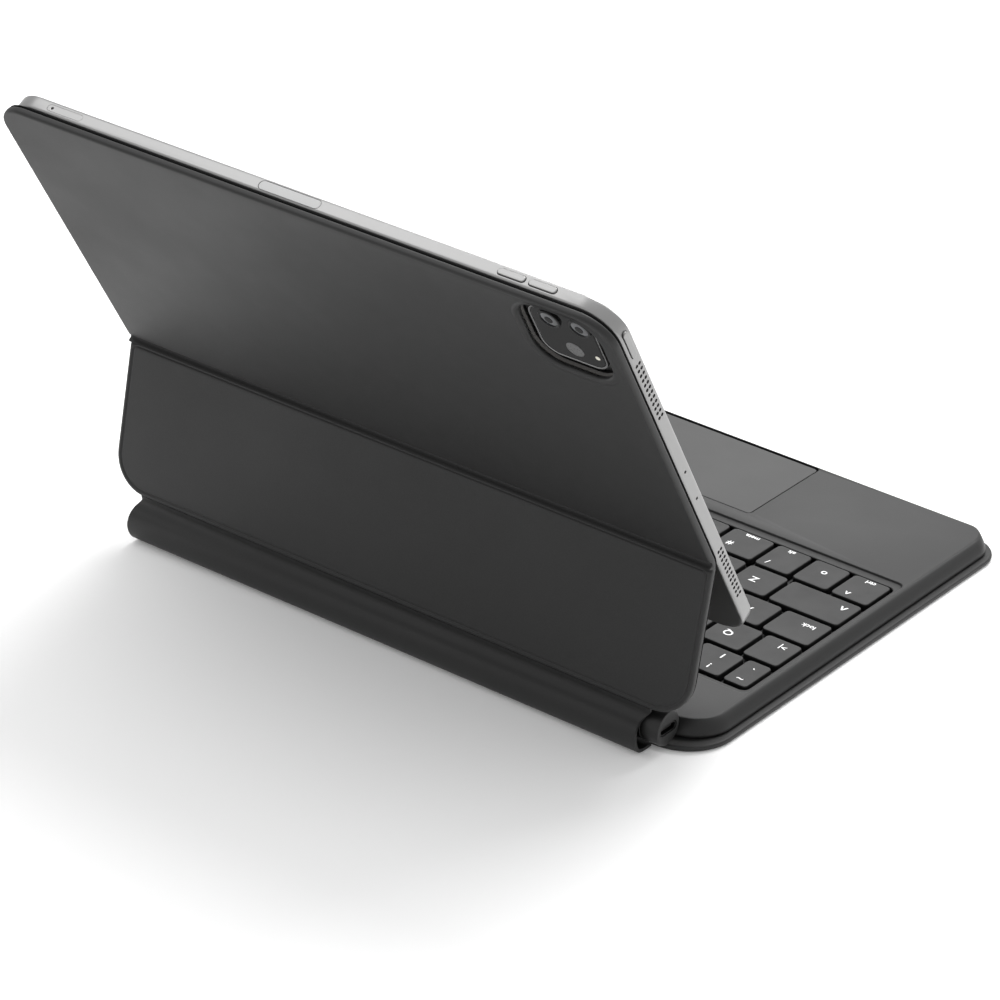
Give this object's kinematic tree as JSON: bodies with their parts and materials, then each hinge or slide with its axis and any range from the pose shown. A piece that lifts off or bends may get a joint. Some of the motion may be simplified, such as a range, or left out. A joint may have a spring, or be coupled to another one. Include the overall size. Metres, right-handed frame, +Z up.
{
  "type": "tablet keyboard case",
  "caption": "Folding tablet keyboard case, open, with a barrel hinge, a creased cover that holds a tablet by magnets, a keyboard and a trackpad.",
  "frame": {"origin": "underside of the keyboard base, on the surface it rests on, midway across the base and 101.5 mm behind its front edge", "axes": "+X to the typist's right, +Y from the typist towards the hinge, +Z up"},
  "size_m": [0.2508, 0.2667, 0.1896],
  "materials": {
    "cover_skin": "matt charcoal polyurethane skin with a fine grain",
    "inner_skin": "charcoal microfibre lining",
    "stiffening_board": "glass-fibre stiffening board",
    "deck": "soft-touch dark grey deck",
    "key_plastic": "satin dark grey keycaps with white marks",
    "black_plastic": "black moulded plastic and silicone",
    "circuit_board": "solder-masked circuit board",
    "trackpad_glass": "frosted dark grey glass",
    "hinge_metal": "dark anodised aluminium",
    "steel": "brushed steel",
    "magnet": "nickel-plated magnet",
    "contact_gold": "gold-plated contacts",
    "tablet_metal": "bead-blasted grey aluminium",
    "black_glass": "polished black glass"
  },
  "bodies": {
    "base": {"base_skin": "cover_skin", "base_tray": "steel", "deck_top": "deck", "controller_board": "circuit_board", "closing_magnet_left": "magnet", "closing_magnet_right": "magnet", "keyboard_frame": "black_plastic", "dome_sheet": "black_plastic", "trackpad_switch": "circuit_board", "hinge_barrel": "hinge_metal", "barrel_cap_left": "hinge_metal", "barrel_cap_right": "hinge_metal", "usb_c_port": "steel", "hinge_bushing_left": "black_plastic", "hinge_bushing_right": "black_plastic", "friction_clip_left": "steel", "friction_clip_right": "steel", "spine_cover": "cover_skin"},
    "lower_flap": {"hinge_axle": "steel", "hinge_arm_left": "steel", "hinge_arm_right": "steel", "flap_outer_skin": "cover_skin", "flap_board": "stiffening_board", "flap_inner_skin": "inner_skin", "crease_rod": "steel"},
    "upper_panel": {"panel_outer_skin": "cover_skin", "panel_board": "stiffening_board", "panel_inner_skin": "inner_skin", "contact_block": "contact_gold", "panel_magnet_left": "magnet", "panel_magnet_right": "magnet", "tablet_housing": "tablet_metal", "tablet_display": "black_glass", "tablet_camera_plateau": "black_glass", "tablet_lens_wide": "black_glass", "tablet_lens_ultrawide": "black_glass"},
    "trackpad": {"trackpad_plate": "trackpad_glass"},
    "power_button": {"tablet_power_button": "tablet_metal"},
    "volume_up_button": {"tablet_volume_up": "tablet_metal"},
    "volume_down_button": {"tablet_volume_down": "tablet_metal"},
    "key_globe_body": {"key_globe": "key_plastic"},
    "key_control_body": {"key_control": "key_plastic"},
    "key_option_body": {"key_option": "key_plastic"},
    "key_command_body": {"key_command": "key_plastic"},
    "key_space_body": {"key_space": "key_plastic"},
    "key_left_shift_body": {"key_left_shift": "key_plastic"},
    "key_z_body": {"key_z": "key_plastic"},
    "key_caps_lock_body": {"key_caps_lock": "key_plastic"},
    "key_tab_body": {"key_tab": "key_plastic"},
    "key_backtick_body": {"key_backtick": "key_plastic"},
    "key_1_body": {"key_1": "key_plastic"},
    "key_return_body": {"key_return": "key_plastic"},
    "keys_space_row_body": {"keys_space_row": "key_plastic"},
    "keys_bottom_row_body": {"keys_bottom_row": "key_plastic"},
    "keys_home_row_body": {"keys_home_row": "key_plastic"},
    "keys_upper_row_body": {"keys_upper_row": "key_plastic"},
    "keys_number_row_body": {"keys_number_row": "key_plastic"}
  },
  "joints": [
    {"name": "case_fold", "type": "hinge", "parent": "base", "child": "lower_flap", "pos_m": [0, 0.0959, 0.0098], "axis": [1, 0, 0], "range_deg": [0, 81]},
    {"name": "crease_fold", "type": "hinge", "parent": "lower_flap", "child": "upper_panel", "pos_m": [0, 0.09314, 0.07517], "axis": [1, 0, 0], "range_deg": [0, 41.3]},
    {"name": "trackpad_click", "type": "slide", "parent": "base", "child": "trackpad", "axis": [0, 0, -1], "range_m": [0, 0.0003], "stiffness_N_per_m": 3000},
    {"name": "power_press", "type": "slide", "parent": "upper_panel", "child": "power_button", "axis": [1, 0, 0], "range_m": [0, 0.0003], "stiffness_N_per_m": 900},
    {"name": "volume_up_press", "type": "slide", "parent": "upper_panel", "child": "volume_up_button", "axis": [0, -0.5344, -0.8453], "range_m": [0, 0.0003], "stiffness_N_per_m": 900},
    {"name": "volume_down_press", "type": "slide", "parent": "upper_panel", "child": "volume_down_button", "axis": [0, -0.5344, -0.8453], "range_m": [0, 0.0003], "stiffness_N_per_m": 900},
    {"name": "globe_press", "type": "slide", "parent": "base", "child": "key_globe_body", "axis": [0, 0, -1], "range_m": [0, 0.0009], "stiffness_N_per_m": 600},
    {"name": "control_press", "type": "slide", "parent": "base", "child": "key_control_body", "axis": [0, 0, -1], "range_m": [0, 0.0009], "stiffness_N_per_m": 600},
    {"name": "option_press", "type": "slide", "parent": "base", "child": "key_option_body", "axis": [0, 0, -1], "range_m": [0, 0.0009], "stiffness_N_per_m": 600},
    {"name": "command_press", "type": "slide", "parent": "base", "child": "key_command_body", "axis": [0, 0, -1], "range_m": [0, 0.0009], "stiffness_N_per_m": 600},
    {"name": "space_press", "type": "slide", "parent": "base", "child": "key_space_body", "axis": [0, 0, -1], "range_m": [0, 0.0009], "stiffness_N_per_m": 600},
    {"name": "left_shift_press", "type": "slide", "parent": "base", "child": "key_left_shift_body", "axis": [0, 0, -1], "range_m": [0, 0.0009], "stiffness_N_per_m": 600},
    {"name": "z_press", "type": "slide", "parent": "base", "child": "key_z_body", "axis": [0, 0, -1], "range_m": [0, 0.0009], "stiffness_N_per_m": 600},
    {"name": "caps_lock_press", "type": "slide", "parent": "base", "child": "key_caps_lock_body", "axis": [0, 0, -1], "range_m": [0, 0.0009], "stiffness_N_per_m": 600},
    {"name": "tab_press", "type": "slide", "parent": "base", "child": "key_tab_body", "axis": [0, 0, -1], "range_m": [0, 0.0009], "stiffness_N_per_m": 600},
    {"name": "backtick_press", "type": "slide", "parent": "base", "child": "key_backtick_body", "axis": [0, 0, -1], "range_m": [0, 0.0009], "stiffness_N_per_m": 600},
    {"name": "one_press", "type": "slide", "parent": "base", "child": "key_1_body", "axis": [0, 0, -1], "range_m": [0, 0.0009], "stiffness_N_per_m": 600},
    {"name": "return_press", "type": "slide", "parent": "base", "child": "key_return_body", "axis": [0, 0, -1], "range_m": [0, 0.0009], "stiffness_N_per_m": 600},
    {"name": "space_row_press", "type": "slide", "parent": "base", "child": "keys_space_row_body", "axis": [0, 0, -1], "range_m": [0, 0.0009], "stiffness_N_per_m": 2500},
    {"name": "bottom_row_press", "type": "slide", "parent": "base", "child": "keys_bottom_row_body", "axis": [0, 0, -1], "range_m": [0, 0.0009], "stiffness_N_per_m": 2500},
    {"name": "home_row_press", "type": "slide", "parent": "base", "child": "keys_home_row_body", "axis": [0, 0, -1], "range_m": [0, 0.0009], "stiffness_N_per_m": 2500},
    {"name": "upper_row_press", "type": "slide", "parent": "base", "child": "keys_upper_row_body", "axis": [0, 0, -1], "range_m": [0, 0.0009], "stiffness_N_per_m": 2500},
    {"name": "number_row_press", "type": "slide", "parent": "base", "child": "keys_number_row_body", "axis": [0, 0, -1], "range_m": [0, 0.0009], "stiffness_N_per_m": 2500}
  ],
  "couplings": [
    {"joint": "crease_fold", "follows": "case_fold", "ratio": 0.50988}
  ]
}
